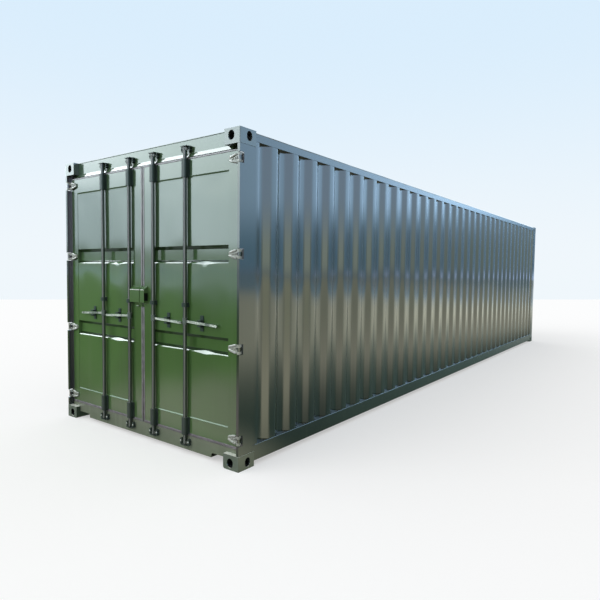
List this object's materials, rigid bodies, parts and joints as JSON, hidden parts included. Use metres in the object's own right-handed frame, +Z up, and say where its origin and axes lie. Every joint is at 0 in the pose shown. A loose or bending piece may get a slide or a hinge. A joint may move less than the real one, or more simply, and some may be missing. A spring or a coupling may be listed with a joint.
{
  "type": "shipping container",
  "caption": "Long steel box with corrugated walls, corner castings, double end doors, upright lock bars with handles, a padlock box, a ribbed roof and a plywood floor.",
  "frame": {"origin": "on the ground under the middle of the box", "axes": "+X across the width, +Y along the length away from the doors, +Z up; the doors face -Y"},
  "size_m": [2.438, 9.754, 2.591],
  "materials": {
    "wall_paint": "gloss paint",
    "door_paint": "gloss paint",
    "frame_paint": "gloss paint",
    "casting_paint": "gloss paint on cast steel",
    "fitting_paint": "gloss paint",
    "bar_paint": "gloss paint",
    "underframe_paint": "matt paint",
    "galvanised_steel": "zinc coat",
    "seal_rubber": "matt",
    "floor_plywood": "sealed plywood"
  },
  "bodies": {
    "box": {"door_bottom_casting_left": "casting_paint", "door_bottom_casting_right": "casting_paint", "door_top_casting_left": "casting_paint", "door_top_casting_right": "casting_paint", "rear_bottom_casting_left": "casting_paint", "rear_bottom_casting_right": "casting_paint", "rear_top_casting_left": "casting_paint", "rear_top_casting_right": "casting_paint", "door_post_left": "frame_paint", "door_post_right": "frame_paint", "rear_post_left": "frame_paint", "rear_post_right": "frame_paint", "top_side_rail_left": "frame_paint", "top_side_rail_right": "frame_paint", "bottom_side_rail_left": "frame_paint", "bottom_side_rail_right": "frame_paint", "side_wall_left": "wall_paint", "side_wall_right": "wall_paint", "rear_wall": "wall_paint", "rear_header": "frame_paint", "rear_sill": "frame_paint", "door_header": "frame_paint", "door_sill": "frame_paint", "roof": "wall_paint", "floor_boards": "floor_plywood", "floor_beams": "underframe_paint", "bar_keepers": "fitting_paint"},
    "left_door": {"left_door_frame": "door_paint", "left_door_panel": "door_paint", "left_door_seal": "seal_rubber", "left_door_hinges": "fitting_paint", "left_door_fittings": "fitting_paint", "left_lock_box": "fitting_paint"},
    "left_inner_lock_bar": {"left_inner_bar": "bar_paint", "left_inner_handle": "galvanised_steel"},
    "left_outer_lock_bar": {"left_outer_bar": "bar_paint", "left_outer_handle": "galvanised_steel"},
    "right_door": {"right_door_frame": "door_paint", "right_door_panel": "door_paint", "right_door_seal": "seal_rubber", "right_door_hinges": "fitting_paint", "right_door_fittings": "fitting_paint", "right_lock_box": "fitting_paint"},
    "right_inner_lock_bar": {"right_inner_bar": "bar_paint", "right_inner_handle": "galvanised_steel"},
    "right_outer_lock_bar": {"right_outer_bar": "bar_paint", "right_outer_handle": "galvanised_steel"}
  },
  "joints": [
    {"name": "left_door_hinge", "type": "hinge", "parent": "box", "child": "left_door", "pos_m": [-1.199, -4.858, 1.3], "axis": [0, 0, -1], "range_deg": [0, 250]},
    {"name": "left_inner_bar_turn", "type": "hinge", "parent": "left_door", "child": "left_inner_lock_bar", "pos_m": [-0.172, -4.855, 1.3], "axis": [0, 0, -1], "range_deg": [-100, 0]},
    {"name": "left_outer_bar_turn", "type": "hinge", "parent": "left_door", "child": "left_outer_lock_bar", "pos_m": [-0.587, -4.855, 1.3], "axis": [0, 0, -1], "range_deg": [-100, 0]},
    {"name": "right_door_hinge", "type": "hinge", "parent": "box", "child": "right_door", "pos_m": [1.199, -4.858, 1.3], "axis": [0, 0, 1], "range_deg": [0, 250]},
    {"name": "right_inner_bar_turn", "type": "hinge", "parent": "right_door", "child": "right_inner_lock_bar", "pos_m": [0.172, -4.855, 1.3], "axis": [0, 0, 1], "range_deg": [-100, 0]},
    {"name": "right_outer_bar_turn", "type": "hinge", "parent": "right_door", "child": "right_outer_lock_bar", "pos_m": [0.587, -4.855, 1.3], "axis": [0, 0, 1], "range_deg": [-100, 0]}
  ]
}
